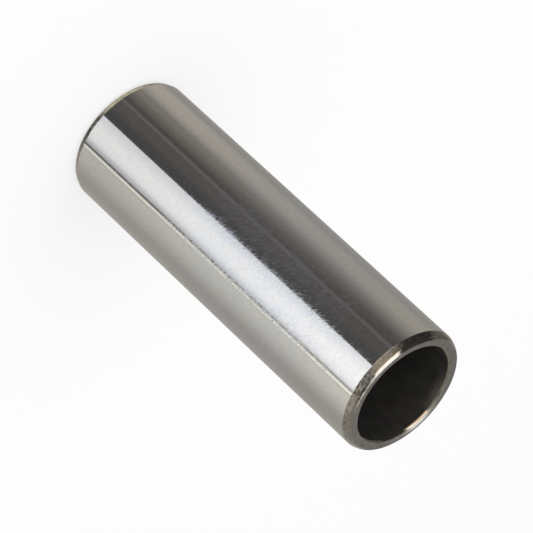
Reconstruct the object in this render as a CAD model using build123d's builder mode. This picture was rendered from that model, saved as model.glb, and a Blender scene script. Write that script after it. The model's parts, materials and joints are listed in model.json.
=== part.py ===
from build123d import *
import os

# Gudgeon pin: the hollow steel pin that joins a piston to the small end of its connecting rod.
# It is one piece, bored right through, with the same chamfered and rounded edge at both ends.
# Everything is in millimetres. The pin stands on one end face: its axis is Z, and the origin is
# the middle of the lower end face.

# Driving dimensions
pin_diameter = 21.0  # the ground outside, which runs in the piston and in the small end
pin_length = 65.0  # over the two end faces
wall = 2.1  # between the ground outside and the plain bore that makes the pin light
lead_length = 1.2  # the lead at each end, along the axis, from the end face to the ground outside
lead_angle = 20.0  # between the lead's cone and the axis, in degrees
corner_radius = 0.9  # between the lead and the end face
mouth_chamfer = 0.3  # the 45 degree edge at each mouth of the bore

# The pin, built up from a plain length of tube
with BuildPart() as gudgeon_pin:
    # The tube
    with BuildSketch():
        Circle(pin_diameter / 2)
        Circle(pin_diameter / 2 - wall, mode=Mode.SUBTRACT)
    extrude(amount=pin_length)

    # A lead at each end, a shallow cone that guides the pin into its bores
    ground_outside = gudgeon_pin.faces().filter_by(GeomType.CYLINDER).sort_by(SortBy.AREA)[-1]
    outer_edges = ground_outside.edges().filter_by(GeomType.CIRCLE)
    chamfer(outer_edges, lead_length, angle=lead_angle, reference=ground_outside)

    # The corner that each lead leaves is rounded into the flat end face
    end_faces = gudgeon_pin.faces().filter_by(GeomType.PLANE)
    fillet([face.outer_wire().edge() for face in end_faces], corner_radius)

    # A small chamfer at each mouth of the bore
    bore = gudgeon_pin.faces().filter_by(GeomType.CYLINDER).sort_by(SortBy.AREA)[0]
    mouth_edges = bore.edges().filter_by(GeomType.CIRCLE)
    chamfer(mouth_edges, mouth_chamfer)

# The finished piece
gudgeon_pin.part.label = "gudgeon_pin"
os.makedirs("parts", exist_ok=True)
export_step(gudgeon_pin.part, "parts/gudgeon_pin.step")
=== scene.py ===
import json
import math

import bmesh
import bpy
from mathutils import Matrix, Vector


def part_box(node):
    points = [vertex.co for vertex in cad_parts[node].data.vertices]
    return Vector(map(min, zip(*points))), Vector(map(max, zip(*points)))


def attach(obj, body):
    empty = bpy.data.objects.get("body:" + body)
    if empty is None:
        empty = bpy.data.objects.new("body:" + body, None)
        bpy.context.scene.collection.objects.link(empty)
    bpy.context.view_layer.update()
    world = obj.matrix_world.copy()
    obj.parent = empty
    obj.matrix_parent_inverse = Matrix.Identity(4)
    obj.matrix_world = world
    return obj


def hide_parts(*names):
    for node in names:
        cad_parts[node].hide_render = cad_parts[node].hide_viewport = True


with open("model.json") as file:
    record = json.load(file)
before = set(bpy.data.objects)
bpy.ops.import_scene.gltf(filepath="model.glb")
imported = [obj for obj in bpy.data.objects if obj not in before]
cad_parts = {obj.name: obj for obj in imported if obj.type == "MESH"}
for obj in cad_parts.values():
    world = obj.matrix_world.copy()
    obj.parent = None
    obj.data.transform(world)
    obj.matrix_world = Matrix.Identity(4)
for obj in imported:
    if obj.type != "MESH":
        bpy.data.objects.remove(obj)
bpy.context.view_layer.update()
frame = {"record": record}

# The gudgeon pin's looks: a ground and polished outside, turned ends and a dull bore, in a plain
# white room. Everything is in metres. The pin stands on the floor and its axis is Z.

MM = 0.001

# The pin's sizes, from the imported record
dims = {mount["name"]: mount["dims"] for mount in frame["record"]["mounts"]}
PIN_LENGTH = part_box("gudgeon_pin")[1].z
PIN_RADIUS = dims["running_surface"]["r_mm"] * MM
LEAD_LENGTH = (PIN_LENGTH - dims["running_surface"]["length_mm"] * MM) / 2
BORE_RADIUS = dims["bore"]["r_mm"] * MM
MOUTH_CHAMFER = (PIN_LENGTH - dims["bore"]["length_mm"] * MM) / 2

# The sizes of the ends that the record doesn't hold
LEAD_ANGLE = math.radians(20)  # between the lead's cone and the axis
CORNER_RADIUS = 0.9 * MM  # between the lead and the end face
LEAD_EDGE_ROUND = 0.25 * MM  # the edge where the lead meets the outside, as polishing leaves it
MOUTH_INNER_ROUND = 0.05 * MM  # the edge of the mouth's chamfer on the bore
MOUTH_OUTER_ROUND = 0.12 * MM  # and on the end face
FACE_DISH = math.radians(6)  # how far the end face slopes down towards the bore

# The mesh
SIDES = 320  # faces round the pin
RING_SPACING = 3.0 * MM  # between rings on the long straight stretches
SUPPORT = 0.12 * MM  # from a rounded edge to the ring that keeps its shading off the flats
CORNER_STEPS = 16  # faces across the rounded corner
INNER_EDGE_STEPS = 3  # and across the finest round
EDGE_STEPS = 4  # and across the other two

# Colours
STEEL = (0.62, 0.61, 0.59)
WORN_STEEL = (0.57, 0.60, 0.65)
TURNED_STEEL = (0.55, 0.52, 0.48)
# The mouth's steel: darker for painted shade beside the dark bore, and warm for the painted warm fringe of
# its highlight
MOUTH_SHADED_STEEL = (0.46, 0.42, 0.35)
BORE_STEEL = (0.17, 0.165, 0.16)
# The lamp's light near the bore's mouths, painted into its colour as a brown glow
BORE_PAINTED_LIGHT = (0.66, 0.59, 0.53)
WHITE = (0.98, 0.98, 0.98)

# The darkest and the lightest shade of each steel's mottle, as shares of its colour
STEEL_SHADES = (0.95, 1.04)
TURNED_SHADES = (0.86, 1.12)
SCUFFED_SHADES = (0.72, 1.18)
BORE_SHADES = (0.9, 1.1)
# The dents' painted shade and painted glints, as shares of the turned steel's colour
DENT_SHADE_AND_GLINT = (0.42, 1.6)

# Roughness, from the smoothest to the roughest spots
POLISHED_ROUGHNESS = 0.05
WORN_ROUGHNESS = 0.22
TURNED_ROUGHNESS = (0.07, 0.12)
SCUFFED_ROUGHNESS = (0.12, 0.26)
BORE_ROUGHNESS = (0.42, 0.52)

# How fine each noise is, in grains for each metre
STROKES = 4200  # on the ground outside, the strokes that it is marked with
FLECKS = 9000  # its rough flecks
WORN_PATCHES = 420  # the patches of its wear
GRAIN = 1800  # the grain of its colour
WAVES = 900  # its waves
TURNING = 9000  # at the ends, the rings that a turning tool leaves
DENTS = 2000  # their dents
TURNED_MOTTLE = 1300  # the mottle of their colour
TURNED_POLISH = 900  # and of their polish
STAINS = 1500  # on the leads, the stains
SCUFFS = 2400  # and the scuffs
BORE_MOTTLE = 700  # in the bore, the mottle of its colour

MOST = (0.3, 0.7)  # the two values between which most of a noise lies
STAIN_LEVELS = (0.35, 0.65)  # and the ones used for the stains on the leads
SCUFF_LEVELS = (0.35, 0.75)  # and for the scuffs
RELIEF = 0.01 * MM  # the height of a bump where its noise is 1

# Where the polish is worn on the outside: fully up to the core, then less and less up to the reach
WORN_MIDDLE = 40 * MM
WORN_REACH = 25 * MM
WORN_CORE = 0.3 * WORN_REACH
WORN_LEAST = 0.6  # the share of wear that is left between its patches

# The strokes and flecks of the ground outside, which both run aslant round the pin
SLANT = 0.28  # their fineness along themselves, of that across
STROKE_SHARE = 0.7  # what the strokes add to the noise of the flecks
WORN_SHARE = 0.25  # and what the wear adds
FLECK_LEVELS = (0.98, 1.18)  # the sums at which a fleck begins and is fully rough
SCRATCH_LEVELS = (0.5, 0.8)  # and the strokes' own, at which a scratch begins and is full
SCRATCH_HEIGHT = 7.0  # beside the waves' height

# Where the ends bear dents, whose shade and glints are painted as dark and bright spots in the colour: in
# degrees round the axis from -Y towards +X, and from which radius out
DENTED_MIDDLE = 17
DENTED_REACH = 20
DENTED_CORE = 0.5 * DENTED_REACH
DENTED_RADII = (9.5 * MM, 9.8 * MM)
# The dark dents below are painted shade, and the bright ones are painted glints
DENT_SHADE_LEVELS = (0.45, 0.62)  # the noise at which a dark dent begins and is full
DENT_GLINT_LEVELS = (0.40, 0.33)  # and a bright one

# Where the lamp's light is painted on the bore as a brown glow near its mouths, on the side towards -X
PAINTED_LIGHT_START = 1.9 * MM  # its start, below the end face
PAINTED_LIGHT_FULL = -0.2 * MM  # where it would be full, just beyond the end face
PAINTED_LIGHT_RAGGED = 0.6 * MM  # how far the mottle moves its edge
PAINTED_LIGHT_SIDE = (0.0, -3.2 * MM)  # in X, where it rises from its least to full
PAINTED_LIGHT_FAR_SIDE = (-7.2 * MM, -3.6 * MM)  # and where it does so again, from the far side
PAINTED_LIGHT_LEAST = 0.03  # its share at the sides

# The camera, which looks down on the upper end from -Y
AIM_HEIGHT = 33.53 * MM  # the point of the pin's axis in the middle of the picture
CAMERA_DISTANCE = 566.9 * MM
CAMERA_ELEVATION = math.radians(31.37)
CAMERA_ROLL = math.radians(132.97)
SENSOR = 36.0  # in millimetres, as the lens is
LENS = 260.85
CLIP_NEAR = 0.01
CLIP_FAR = 20.0

# The lamp overhead
KEY_AZIMUTH = math.radians(-25)
KEY_ELEVATION = math.radians(74)
KEY_DISTANCE = 0.7
KEY_SIZE = 0.42  # the side of its square
KEY_POWER = 1.9  # in watts

# The room
FLOOR_REACH = 4.0  # from the middle of the floor to its sides
FLOOR_SQUARES = 8  # along each side
ROOM_LIGHT = 0.75  # the plain white light of the room on the floor
FLOOR_GLOW = 0.7  # the share of plain white in the floor as the camera sees it, which thins the shadow

# What the polished steel mirrors, as soft-edged patches of light, each laid over those before it.
# Azimuth is measured from -Y towards +X and elevation from the horizon, both in degrees. A standing
# pin's side mirrors what is below the horizon, and its leads and corners what is above.
ROOM = (0.45, 0.43, 0.40)
STUDIO = (
    # name, azimuths, softness, elevations, softness, colour
    ("near wall", (10, 92), 60, (-90, 10), 20, (0.83, 0.81, 0.75)),
    ("dim wall behind", (-174, -126), 20, (-70, 8), 20, (0.375, 0.36, 0.34)),
    ("left wall", (-117, -92), 24, (-70, 8), 20, (0.465, 0.437, 0.385)),
    ("foot of the left wall", (-124, -79), 26, (-60, -32.5), 5, (0.55, 0.515, 0.465)),
    ("dark corner's soft side", (-76, -10), 52, (-60, 2), 16, (0.12, 0.11, 0.105)),
    ("light on its foot", (-71, -52), 20, (-60, -31), 6, (0.19, 0.175, 0.16)),
    ("lighter side of that", (-77, -65), 18, (-60, -31.5), 5, (0.29, 0.27, 0.242)),
    ("dark corner", (-46, 1), 3, (-60, 2), 16, (0.13, 0.122, 0.12)),
    ("head of the dark corner", (-62, -18), 10, (-30, 2), 5, (0.120, 0.113, 0.111)),
    ("darkest corner", (-18, 1), 14, (-60, 2), 16, (0.099, 0.097, 0.098)),
    ("shade beside the seam", (-50.4, -43.1), 7, (-60, 2), 16, (0.108, 0.102, 0.099)),
    ("light seam in the dark", (-42.7, -38.1), 3, (-60, 2), 16, (0.188, 0.174, 0.173)),
    ("seam's dim head", (-42.7, -38.1), 3, (-30, 2), 5, (0.165, 0.153, 0.152)),
    ("softbox", (0.9, 56), 1.5, (-60, 2), 10, (1.10, 1.13, 1.20)),
    ("softbox's middle", (12, 44), 26, (-60, 2), 10, (1.38, 1.39, 1.41)),
    ("front of the room", (-10, 150), 20, (-13, 62), 12, (0.32, 0.31, 0.28)),
    ("lighter part of the front", (52, 82), 16, (-13, 40), 12, (0.42, 0.40, 0.36)),
    ("warm wall", (-40, -4), 14, (0, 50), 12, (0.42, 0.38, 0.31)),
    ("dark panel's soft side", (-150, -36), 14, (-17, 66), 8, (0.17, 0.16, 0.145)),
    ("dark panel", (-113, -53), 12, (-17, 66), 8, (0.045, 0.043, 0.042)),
    ("light gap under the panel", (-48, -1), 6, (-13, -2), 4, (1.9, 1.82, 1.70)),
    ("olive floor", (-180, 0), 50, (-90, -56), 16, (0.72, 0.70, 0.54)),
    ("grey floor", (0, 180), 50, (-90, -56), 16, (0.26, 0.26, 0.25)),
    ("wall behind", (150, 210), 20, (12, 64), 10, (0.26, 0.255, 0.25)),
    ("dark foot of the wall behind", (164, 196), 16, (-18, 12), 8, (0.09, 0.088, 0.085)),
)

# The patches at the softbox's frame lean, and are laid last. Their azimuths hold at the level, and
# change by the lean for each degree above it.
LEAN = -0.47
LEAN_LEVEL = -31.0
LEANING = (
    ("shade beside the frame", (50.5, 60), 8, (-60, 2), 10, (0.90, 0.90, 0.89)),
    ("deeper shade at its foot", (46, 60), 12, (-60, -32), 5, (0.74, 0.74, 0.74)),
    ("dark frame", (52.4, 56.6), 1.5, (-60, 2), 10, (0.50, 0.49, 0.48)),
    ("darker foot of the frame", (52.4, 56.6), 1.5, (-60, -31.5), 5, (0.24, 0.24, 0.25)),
    ("cream strip", (56.6, 61.0), 1.5, (-60, 2), 10, (1.22, 1.20, 1.11)),
    ("edge of the near wall", (61.0, 63.8), 1.5, (-60, 2), 10, (0.74, 0.72, 0.66)),
)

# The softbox and the near wall are brighter higher up
SLOPE = ((-34.0, 0.85), (-28.5, 1.10))  # two elevations and the light there
SLOPED = ((-10, 88), 40)  # azimuths and softness

# Overhead the patches are shapes instead, drawn in the X and Y of the direction that is mirrored.
# Their corners go round anticlockwise, seen from above.
OVERHEAD_RISE = (0.5, 0.6)  # the Z of the directions between which they take over
OVERHEAD = (
    # name, corners, softness, colour
    ("ceiling", ((-0.2, -0.75), (1.2, -0.75), (1.2, 0.72), (-0.2, 0.72)),
     0.15, (0.30, 0.29, 0.265)),
    ("dark side", ((-1.2, -0.85), (-0.64, -0.85), (-0.34, 0.0), (-0.02, 0.64), (-0.2, 0.74), (-1.2, 0.40)),
     0.12, (0.05, 0.048, 0.046)),
    ("warm front", ((-0.62, -1.0), (0.12, -1.0), (0.12, -0.45), (-0.6, -0.45)),
     0.10, (0.44, 0.39, 0.31)),
    ("post beside the lamp", ((0.22, 0.24), (0.33, -0.32), (0.56, -0.34), (0.46, 0.28)),
     0.08, (0.13, 0.12, 0.11)),
    ("warm edge of the lamp", ((-0.60, -0.44), (0.07, -0.58), (0.08, -0.38), (-0.54, -0.28)),
     0.05, (1.35, 1.00, 0.70)),
    ("far end of the lamp", ((-0.115, 0.59), (0.034, 0.59), (-0.004, 0.80), (-0.026, 0.80)),
     0.02, (1.3, 1.27, 1.22)),
    ("lamp", ((-0.51, -0.33), (0.07, -0.40), (0.09, 0.29), (0.028, 0.62), (-0.102, 0.62), (-0.36, 0.04)),
     0.02, (1.9, 1.89, 1.85)),
    ("lamp's side", ((0.07, 0.20), (0.26, 0.36), (0.32, 0.48), (0.18, 0.63), (0.04, 0.68)),
     0.08, (1.15, 1.13, 1.08)),
)


# Shader nodes

class Graph:
    """Adds nodes to one node tree with short calls."""

    def __init__(self, tree):
        self.tree = tree
        tree.nodes.clear()

    def add(self, kind, inputs=(), **settings):
        node = self.tree.nodes.new(kind)
        for name, value in settings.items():
            setattr(node, name, value)
        for key, value in dict(inputs).items():
            self.feed(node.inputs[key], value)
        return node

    def feed(self, socket, value):
        """Links a socket to another one, or sets its value."""
        if isinstance(value, bpy.types.NodeSocket):
            self.tree.links.new(value, socket)
        else:
            socket.default_value = value

    def math(self, operation, *values):
        node = self.add("ShaderNodeMath", operation=operation)
        for socket, value in zip(node.inputs, values):
            self.feed(socket, value)
        return node.outputs[0]

    def ramp(self, value, start, end, low=0.0, high=1.0):
        """low at start and high at end, with a smooth step between them."""
        inputs = {"Value": value, "From Min": start, "From Max": end, "To Min": low, "To Max": high}
        return self.add("ShaderNodeMapRange", inputs, interpolation_type="SMOOTHSTEP").outputs[0]

    def mix(self, share, first, second):
        """The first colour at share 0 and the second at share 1."""
        node = self.add("ShaderNodeMix", data_type="RGBA")
        self.feed(node.inputs[0], share)
        self.feed(node.inputs[6], colour(first))
        self.feed(node.inputs[7], colour(second))
        return node.outputs[2]

    def mottled(self, noise, steel, shades, levels=MOST):
        """A steel's colour, made darker and lighter by a noise."""
        return self.mix(self.ramp(noise, *levels), shade(steel, shades[0]), shade(steel, shades[1]))

    def noise(self, vector, scale, detail=2.0, roughness=0.5):
        inputs = {"Vector": vector, "Scale": scale, "Detail": detail, "Roughness": roughness}
        return self.add("ShaderNodeTexNoise", inputs).outputs["Fac"]

    def stretched(self, vector, along):
        """A place with its Z multiplied: above 1 a noise is shorter along Z, and below 1 longer."""
        node = self.add("ShaderNodeVectorMath", {0: vector, 1: (1.0, 1.0, along)}, operation="MULTIPLY")
        return node.outputs[0]

    def place(self):
        """The place on the piece, in metres."""
        return self.add("ShaderNodeTexCoord").outputs["Object"]

    def parts(self, vector):
        """The X, Y and Z of a vector."""
        return self.add("ShaderNodeSeparateXYZ", {0: vector}).outputs

    def radius(self, parts):
        """How far a place is from the Z axis."""
        square = self.math("MULTIPLY_ADD", parts[0], parts[0], self.math("MULTIPLY", parts[1], parts[1]))
        return self.math("SQRT", square)

    def azimuth(self, parts):
        """The degrees round the Z axis, from -Y towards +X."""
        turn = self.math("ARCTAN2", parts[0], self.math("MULTIPLY", parts[1], -1.0))
        return self.math("DEGREES", turn)

    def apart(self, value, middle):
        """How far a value is from a middle one."""
        return self.math("ABSOLUTE", self.math("SUBTRACT", value, middle))

    def bump(self, height, strength, distance=RELIEF):
        inputs = {"Height": height, "Strength": strength, "Distance": distance}
        return self.add("ShaderNodeBump", inputs).outputs[0]

    def surface(self, inputs):
        """The shader that a material ends in."""
        shader = self.add("ShaderNodeBsdfPrincipled", inputs)
        self.add("ShaderNodeOutputMaterial", {"Surface": shader.outputs[0]})


def colour(value):
    """A colour with its alpha, or a socket as it is."""
    return value if isinstance(value, bpy.types.NodeSocket) else (*value, 1.0)


def shade(value, factor):
    """A colour made darker or lighter."""
    return tuple(part * factor for part in value)


def new_material(name):
    material = bpy.data.materials.new(name)
    material.use_nodes = True
    return material, Graph(material.node_tree)


# New objects

def new_mesh(name, skin):
    """The mesh of a bmesh, which is freed."""
    mesh = bpy.data.meshes.new(name)
    skin.to_mesh(mesh)
    skin.free()
    return mesh


def new_object(name, data):
    """An object in the scene."""
    made = bpy.data.objects.new(name, data)
    bpy.context.scene.collection.objects.link(made)
    return made


def direction(azimuth, elevation):
    """The direction of an azimuth, from -Y towards +X, and an elevation, both in radians."""
    level = math.cos(elevation)
    return Vector((math.sin(azimuth) * level, -math.cos(azimuth) * level, math.sin(elevation)))


# The pin's mesh

def arc_points(before, corner, after, radius, steps):
    """The corner of an outline, rounded with an arc that touches both of its lines."""
    back = (Vector(before) - Vector(corner)).normalized()
    ahead = (Vector(after) - Vector(corner)).normalized()
    half = back.angle(ahead) / 2
    middle = Vector(corner) + (back + ahead).normalized() * radius / math.sin(half)
    start = Vector(corner) + back * radius / math.tan(half) - middle
    end = Vector(corner) + ahead * radius / math.tan(half) - middle
    turn = start.angle(end)
    points = []
    for step in range(steps + 1):
        share = step / steps
        first = math.sin((1 - share) * turn) / math.sin(turn)
        second = math.sin(share * turn) / math.sin(turn)
        points.append(middle + start * first + end * second)
    return points


def stretch_points(start, end):
    """The rings of a straight stretch, without its two ends: one close to each end and even ones
    between them, or a single one where the stretch is short."""
    run = end - start
    if run.length < 3 * SUPPORT:
        return [start + run / 2]
    inset = run.normalized() * SUPPORT
    count = max(1, math.ceil((run.length - 2 * SUPPORT) / RING_SPACING))
    first, last = start + inset, end - inset
    return [first.lerp(last, step / count) for step in range(count + 1)]


def outline():
    """Half of the pin's section, from the middle of the bore over the upper end to the middle of the
    outside, as a list of points, each with its zone. A point is a radius and a height, and its zone
    is the material of the face that follows it."""
    # The round of the corner just reaches the full length, and the dished face runs on from it
    round_reach = CORNER_RADIUS * math.tan((math.pi / 2 - LEAD_ANGLE) / 2)
    crest = PIN_RADIUS - LEAD_LENGTH * math.tan(LEAD_ANGLE) - round_reach
    rise = math.tan(FACE_DISH)
    axis_height = PIN_LENGTH - CORNER_RADIUS + CORNER_RADIUS / math.cos(FACE_DISH) - crest * rise
    lead_start = PIN_LENGTH - LEAD_LENGTH
    lead_rise = 1 / math.tan(LEAD_ANGLE)
    corner = (lead_start + PIN_RADIUS * lead_rise - axis_height) / (rise + lead_rise)
    # The chamfer at 45 degrees meets the dished face a little further in than it would a flat one
    mouth = (axis_height - PIN_LENGTH + MOUTH_CHAMFER + BORE_RADIUS) / (1 - rise)
    middle = PIN_LENGTH / 2
    corners = (
        (BORE_RADIUS, middle),
        (BORE_RADIUS, PIN_LENGTH - MOUTH_CHAMFER),
        (mouth, axis_height + mouth * rise),
        (corner, axis_height + corner * rise),
        (PIN_RADIUS, lead_start),
        (PIN_RADIUS, middle),
    )
    rounds = (
        (MOUTH_INNER_ROUND, INNER_EDGE_STEPS),
        (MOUTH_OUTER_ROUND, EDGE_STEPS),
        (CORNER_RADIUS, CORNER_STEPS),
        (LEAD_EDGE_ROUND, EDGE_STEPS),
    )
    zones = ("bore", "mouth", "end", "lead", "outside")

    arcs = [[Vector(corners[0])]]
    for place, (radius, steps) in enumerate(rounds, 1):
        arcs.append(arc_points(corners[place - 1], corners[place], corners[place + 1], radius, steps))
    arcs.append([Vector(corners[-1])])

    section = []
    for zone, arc, next_arc in zip(zones, arcs, arcs[1:]):
        # The faces of a round belong to the end, and the next zone starts at its last point
        section += [(point, "end") for point in arc[:-1]]
        section.append((arc[-1], zone))
        section += [(point, zone) for point in stretch_points(arc[-1], next_arc[0])]
    section.append((arcs[-1][0], zones[-1]))
    return section


def pin_mesh(zone_order):
    """The pin as rings of vertices round its axis, joined into one closed skin."""
    upper = outline()
    lower = [(Vector((point.x, PIN_LENGTH - point.y)), zone) for point, zone in upper]
    # The lower half runs back to the bore, so each of its faces has the zone of the point ahead
    back = [(lower[i][0], lower[i - 1][1]) for i in range(len(lower) - 1, 0, -1)]
    section = upper[:-1] + back

    skin = bmesh.new()
    rings = []
    for point, _ in section:
        ring = []
        for side in range(SIDES):
            turn = 2 * math.pi * side / SIDES
            ring.append(skin.verts.new((point.x * math.cos(turn), point.x * math.sin(turn), point.y)))
        rings.append(ring)
    for place, (_, zone) in enumerate(section):
        ring, following = rings[place], rings[(place + 1) % len(rings)]
        for side in range(SIDES):
            after = (side + 1) % SIDES
            face = skin.faces.new((ring[side], ring[after], following[after], following[side]))
            face.material_index = zone_order.index(zone)
            face.smooth = True
    bmesh.ops.recalc_face_normals(skin, faces=skin.faces)
    return new_mesh("pin", skin)


# The pin's materials

def polished_steel():
    """The ground outside: nearly a mirror, slightly wavy, with a fine grain in its colour. Its rough
    flecks are thickest where the small end has worn it, and there it is also scratched."""
    material, graph = new_material("polished_steel")
    place = graph.place()
    height = graph.parts(place)[2]
    worn = graph.ramp(graph.apart(height, WORN_MIDDLE), WORN_REACH, WORN_CORE)
    patches = graph.noise(place, WORN_PATCHES)
    worn = graph.math("MULTIPLY", worn, graph.ramp(patches, *MOST, WORN_LEAST, 1.0))

    # Turned round the axis by its height, so that what is long in Z there runs aslant round the pin
    angle = graph.math("MULTIPLY", height, 1 / PIN_RADIUS)
    inputs = {"Vector": place, "Angle": angle}
    turned = graph.add("ShaderNodeVectorRotate", inputs, rotation_type="Z_AXIS").outputs[0]
    slants = graph.stretched(turned, SLANT)
    strokes = graph.noise(slants, STROKES, roughness=0.6)
    flecks = graph.noise(slants, FLECKS, detail=1.0)
    level = graph.math("MULTIPLY_ADD", strokes, STROKE_SHARE, flecks)
    level = graph.math("MULTIPLY_ADD", worn, WORN_SHARE, level)
    rough = graph.ramp(level, *FLECK_LEVELS)
    roughness = graph.math("MULTIPLY_ADD", rough, WORN_ROUGHNESS - POLISHED_ROUGHNESS, POLISHED_ROUGHNESS)

    grain = graph.noise(graph.stretched(place, along=2.5), GRAIN)
    tint = graph.mix(rough, graph.mottled(grain, STEEL, STEEL_SHADES), WORN_STEEL)

    waves = graph.noise(graph.stretched(place, along=0.7), WAVES)
    scratches = graph.math("MULTIPLY", worn, graph.ramp(strokes, *SCRATCH_LEVELS))
    relief = graph.math("MULTIPLY_ADD", scratches, SCRATCH_HEIGHT, waves)

    graph.surface({
        "Base Color": tint,
        "Metallic": 1.0,
        "Roughness": roughness,
        "Anisotropic": 0.4,
        "Anisotropic Rotation": 0.25,
        "Tangent": graph.add("ShaderNodeTangent", direction_type="RADIAL", axis="Z").outputs[0],
        "Normal": graph.bump(relief, strength=0.10),
    })
    return material


def ringed(graph, place):
    """A height that is finely ringed about the axis, as a turning tool leaves it."""
    parts = graph.parts(place)
    across = graph.math("SUBTRACT", graph.radius(parts), parts[2])
    return graph.noise(graph.add("ShaderNodeCombineXYZ", {0: across}).outputs[0], TURNING, detail=1.0)


def dent_shade_and_glints(graph, place, tint):
    """A colour with dark and bright spots at the one place where the pin has been struck: the painted
    shade and painted glints of its dents.
    """
    parts = graph.parts(place)
    off = graph.apart(graph.azimuth(parts), DENTED_MIDDLE)
    share = graph.math("MULTIPLY", graph.ramp(off, DENTED_REACH, DENTED_CORE),
                       graph.ramp(graph.radius(parts), *DENTED_RADII))
    dents = graph.noise(graph.stretched(place, along=1.4), DENTS, roughness=0.6)
    dark = graph.math("MULTIPLY", share, graph.ramp(dents, *DENT_SHADE_LEVELS))
    bright = graph.math("MULTIPLY", share, graph.ramp(dents, *DENT_GLINT_LEVELS))
    tint = graph.mix(dark, tint, shade(TURNED_STEEL, DENT_SHADE_AND_GLINT[0]))
    return graph.mix(bright, tint, shade(TURNED_STEEL, DENT_SHADE_AND_GLINT[1]))


def turned_steel(name, steel):
    """The rounds, the end face and the mouth: turned, then polished with the outside."""
    material, graph = new_material(name)
    place = graph.place()
    mottle = graph.noise(place, TURNED_MOTTLE, detail=3.0, roughness=0.6)
    graph.surface({
        # Its colour holds the dents' painted shade and painted glints
        "Base Color": dent_shade_and_glints(graph, place, graph.mottled(mottle, steel, TURNED_SHADES)),
        "Metallic": 1.0,
        "Roughness": graph.ramp(graph.noise(place, TURNED_POLISH), *MOST, *TURNED_ROUGHNESS),
        "Normal": graph.bump(ringed(graph, place), strength=0.05),
    })
    return material


def scuffed_steel():
    """The lead: turned like the rest of the end, and scuffed and stained where it was pushed in."""
    material, graph = new_material("scuffed_steel")
    place = graph.place()
    stains = graph.noise(place, STAINS, detail=4.0, roughness=0.65)
    scuffs = graph.noise(graph.stretched(place, along=0.6), SCUFFS, detail=3.0, roughness=0.7)
    tint = graph.mottled(stains, TURNED_STEEL, SCUFFED_SHADES, STAIN_LEVELS)
    graph.surface({
        # Its colour holds the dents' painted shade and painted glints
        "Base Color": dent_shade_and_glints(graph, place, tint),
        "Metallic": 1.0,
        "Roughness": graph.ramp(scuffs, *SCUFF_LEVELS, *SCUFFED_ROUGHNESS),
        "Normal": graph.bump(ringed(graph, place), strength=0.2),
    })
    return material


def dull_steel():
    """The bore: drawn and never finished, so dark and matt, with the lamp's light painted near its mouths
    as a brown glow.
    """
    material, graph = new_material("dull_steel")
    place = graph.place()
    parts = graph.parts(place)
    mottle = graph.noise(graph.stretched(place, along=0.5), BORE_MOTTLE, detail=3.0)

    half = PIN_LENGTH / 2
    # The painted light rises towards each mouth with a ragged edge, and is kept to a strip on the side
    # towards -X
    off = graph.math("MULTIPLY_ADD", mottle, PAINTED_LIGHT_RAGGED, graph.apart(parts[2], half))
    painted_light = graph.ramp(off, half - PAINTED_LIGHT_START, half - PAINTED_LIGHT_FULL)
    for span in (PAINTED_LIGHT_SIDE, PAINTED_LIGHT_FAR_SIDE):
        painted_light = graph.math("MULTIPLY", painted_light, graph.ramp(parts[0], *span, PAINTED_LIGHT_LEAST, 1.0))

    graph.surface({
        "Base Color": graph.mix(painted_light, graph.mottled(mottle, BORE_STEEL, BORE_SHADES), BORE_PAINTED_LIGHT),
        "Metallic": 0.85,
        "Roughness": graph.ramp(mottle, *MOST, *BORE_ROUGHNESS),
        "Normal": graph.bump(mottle, strength=0.3, distance=2 * RELIEF),
    })
    return material


def make_pin():
    zone_materials = {
        "outside": polished_steel(),
        "lead": scuffed_steel(),
        "end": turned_steel("turned_steel", TURNED_STEEL),
        # The mouth's colour holds painted shade and a painted warm fringe of its highlight
        "mouth": turned_steel("mouth_shaded_steel", MOUTH_SHADED_STEEL),
        "bore": dull_steel(),
    }
    mesh = pin_mesh(list(zone_materials))
    for material in zone_materials.values():
        mesh.materials.append(material)
    pin = new_object("pin", mesh)
    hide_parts("gudgeon_pin")
    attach(pin, "root")


# The studio

def band(graph, value, span, softness):
    """1 inside a span of degrees and 0 outside, with a soft edge of that width. Azimuths go round."""
    centre = (span[0] + span[1]) / 2
    half = (span[1] - span[0]) / 2
    off = graph.math("ABSOLUTE", graph.math("WRAP", graph.math("SUBTRACT", value, centre), 180.0, -180.0))
    return graph.ramp(off, half + softness / 2, half - softness / 2)


def inside(graph, x, y, corners, softness):
    """1 inside a shape and 0 outside, with a soft edge of that width."""
    share = 1.0
    for (x0, y0), (x1, y1) in zip(corners, corners[1:] + corners[:1]):
        length = math.hypot(x1 - x0, y1 - y0)
        part_x, part_y = (y0 - y1) / length, (x1 - x0) / length
        off = graph.math("MULTIPLY_ADD", y, part_y, -part_x * x0 - part_y * y0)
        off = graph.math("MULTIPLY_ADD", x, part_x, off)
        share = graph.math("MULTIPLY", graph.ramp(off, -softness / 2, softness / 2), share)
    return share


def lay_patches(graph, under, patches, across, up):
    """The patches of a list, laid over a colour by the two measures of a direction that are given."""
    for _, first, first_softness, second, second_softness, patch_colour in patches:
        share = graph.math("MULTIPLY", band(graph, across, first, first_softness),
                           band(graph, up, second, second_softness))
        under = graph.mix(share, under, patch_colour)
    return under


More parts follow.
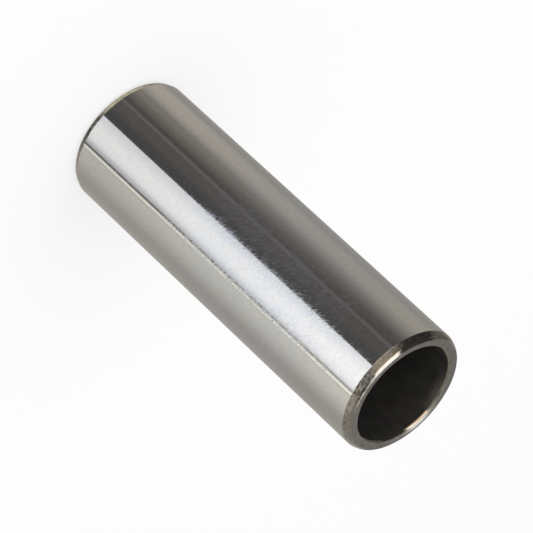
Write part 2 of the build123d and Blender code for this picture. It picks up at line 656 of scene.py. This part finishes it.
def studio_light(graph, parts):
    """What the steel mirrors in a direction, of which the X, Y and Z are given."""
    azimuth = graph.azimuth(parts)
    elevation = graph.math("DEGREES", graph.math("ARCSINE", parts[2]))
    above = graph.math("SUBTRACT", elevation, LEAN_LEVEL)
    leaning = graph.math("MULTIPLY_ADD", above, -LEAN, azimuth)
    studio = lay_patches(graph, ROOM, STUDIO, azimuth, elevation)
    studio = lay_patches(graph, studio, LEANING, leaning, elevation)

    (low, low_light), (high, high_light) = SLOPE
    inputs = {
        "Value": elevation,
        "From Min": low,
        "From Max": high,
        "To Min": low_light,
        "To Max": high_light,
    }
    more = graph.math("SUBTRACT", graph.add("ShaderNodeMapRange", inputs).outputs[0], 1.0)
    factor = graph.math("MULTIPLY_ADD", more, band(graph, azimuth, *SLOPED), 1.0)
    studio = graph.add("ShaderNodeVectorMath", {0: studio, 3: factor}, operation="SCALE").outputs[0]

    overhead = studio
    for _, corners, softness, patch_colour in OVERHEAD:
        share = inside(graph, parts[0], parts[1], corners, softness)
        overhead = graph.mix(share, overhead, patch_colour)
    return graph.mix(graph.ramp(parts[2], *OVERHEAD_RISE), studio, overhead)


def make_world():
    """White as the camera sees it, the studio as the steel mirrors it, and plain light on the floor."""
    world = bpy.data.worlds.new("studio")
    world.use_nodes = True
    bpy.context.scene.world = world
    graph = Graph(world.node_tree)
    # Without it, a sampled ray would see the white room where a mirrored one sees the studio
    world.cycles.sampling_method = "NONE"

    mirrored = graph.add("ShaderNodeTexCoord").outputs["Generated"]
    studio = studio_light(graph, graph.parts(mirrored))
    rays = graph.add("ShaderNodeLightPath").outputs
    room = graph.mix(rays["Is Camera Ray"], [ROOM_LIGHT] * 3, WHITE)
    seen = graph.mix(rays["Is Glossy Ray"], room, studio)
    background = graph.add("ShaderNodeBackground", {"Color": seen, "Strength": 1.0})
    graph.add("ShaderNodeOutputWorld", {"Surface": background.outputs[0]})


def make_floor():
    """A plain pale floor. The photograph's pin doesn't mirror it, so it isn't seen in the steel."""
    skin = bmesh.new()
    bmesh.ops.create_grid(skin, x_segments=FLOOR_SQUARES, y_segments=FLOOR_SQUARES, size=FLOOR_REACH)
    floor = new_object("floor", new_mesh("floor", skin))
    floor.visible_glossy = False
    material, graph = new_material("pale_floor")
    diffuse = graph.add("ShaderNodeBsdfDiffuse", {"Color": colour(WHITE)})
    glow = graph.add("ShaderNodeEmission", {"Color": colour(WHITE), "Strength": 1.0})
    camera_ray = graph.add("ShaderNodeLightPath").outputs["Is Camera Ray"]
    share = graph.math("MULTIPLY", camera_ray, FLOOR_GLOW)
    shader = graph.add("ShaderNodeMixShader", {0: share, 1: diffuse.outputs[0], 2: glow.outputs[0]})
    graph.add("ShaderNodeOutputMaterial", {"Surface": shader.outputs[0]})
    floor.data.materials.append(material)


def make_key():
    """The softbox overhead, which lights the floor and casts the pin's shadow there. It is hidden from
    mirrored rays, so the rounded corner and the mouth of the bore mirror the studio's lamp patch instead.
    """
    data = bpy.data.lights.new("key", "AREA")
    data.shape = "SQUARE"
    data.size = KEY_SIZE
    data.energy = KEY_POWER
    key = new_object("key", data)
    back = direction(KEY_AZIMUTH, KEY_ELEVATION)
    key.location = Vector((0, 0, PIN_LENGTH)) + back * KEY_DISTANCE
    key.rotation_euler = back.to_track_quat("Z", "Y").to_euler()
    key.visible_glossy = False


def make_camera():
    data = bpy.data.cameras.new("camera")
    data.sensor_width = SENSOR
    data.lens = LENS
    data.clip_start = CLIP_NEAR
    data.clip_end = CLIP_FAR
    camera = new_object("camera", data)
    back = direction(0.0, CAMERA_ELEVATION)
    aim = Vector((0, 0, AIM_HEIGHT))
    turn = back.to_track_quat("Z", "Y").to_matrix().to_4x4() @ Matrix.Rotation(CAMERA_ROLL, 4, "Z")
    camera.matrix_world = Matrix.Translation(aim + back * CAMERA_DISTANCE) @ turn
    bpy.context.scene.camera = camera


make_pin()
make_floor()
make_world()
make_key()
make_camera()
bpy.context.scene.view_settings.view_transform = "Standard"
